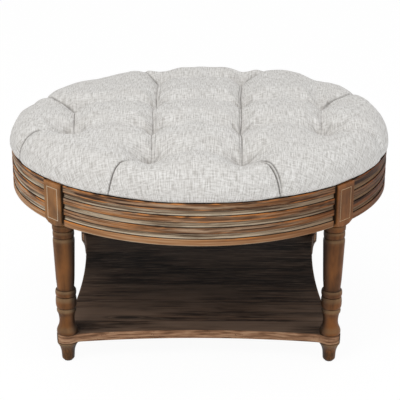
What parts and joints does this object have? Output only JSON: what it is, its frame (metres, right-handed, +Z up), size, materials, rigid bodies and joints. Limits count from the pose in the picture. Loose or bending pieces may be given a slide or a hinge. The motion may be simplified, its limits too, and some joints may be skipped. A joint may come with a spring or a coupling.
{
  "type": "ottoman coffee table",
  "caption": "Round tufted upholstered ottoman coffee table with a reeded apron, turned legs and a low shelf with hollowed sides.",
  "frame": {"origin": "on the floor, under the middle of the seat", "axes": "+Z up; the front looks along -Y, and the legs stand on the diagonals between X and Y"},
  "size_m": [0.808, 0.808, 0.478],
  "materials": {
    "fabric": "matte",
    "foam": "matte",
    "plywood": "matte",
    "tie_tape": "matte",
    "dust_cloth": "matte",
    "apron_wood": "satin",
    "leg_wood": "satin",
    "shelf_wood": "satin",
    "brace_wood": "matte",
    "steel": "satin",
    "glide": "matte"
  },
  "bodies": {
    "root": {"seat_cover": "fabric", "seat_foam": "foam", "seat_board": "plywood", "tufting_ties": "tie_tape", "dust_cover": "dust_cloth", "apron_tenons": "brace_wood", "leg_screws": "steel", "foot_screws": "steel", "glides": "glide", "brace_bolts": "steel", "brace_screws": "steel", "seat_screws": "steel", "shelf": "shelf_wood", "apron_right": "apron_wood", "apron_back": "apron_wood", "apron_left": "apron_wood", "apron_front": "apron_wood", "leg_block_rear_right": "leg_wood", "corner_brace_rear_right": "brace_wood", "leg_block_rear_left": "leg_wood", "corner_brace_rear_left": "brace_wood", "leg_block_front_left": "leg_wood", "corner_brace_front_left": "brace_wood", "leg_block_front_right": "leg_wood", "corner_brace_front_right": "brace_wood", "leg_columns": "leg_wood", "feet": "leg_wood"}
  },
  "joints": []
}
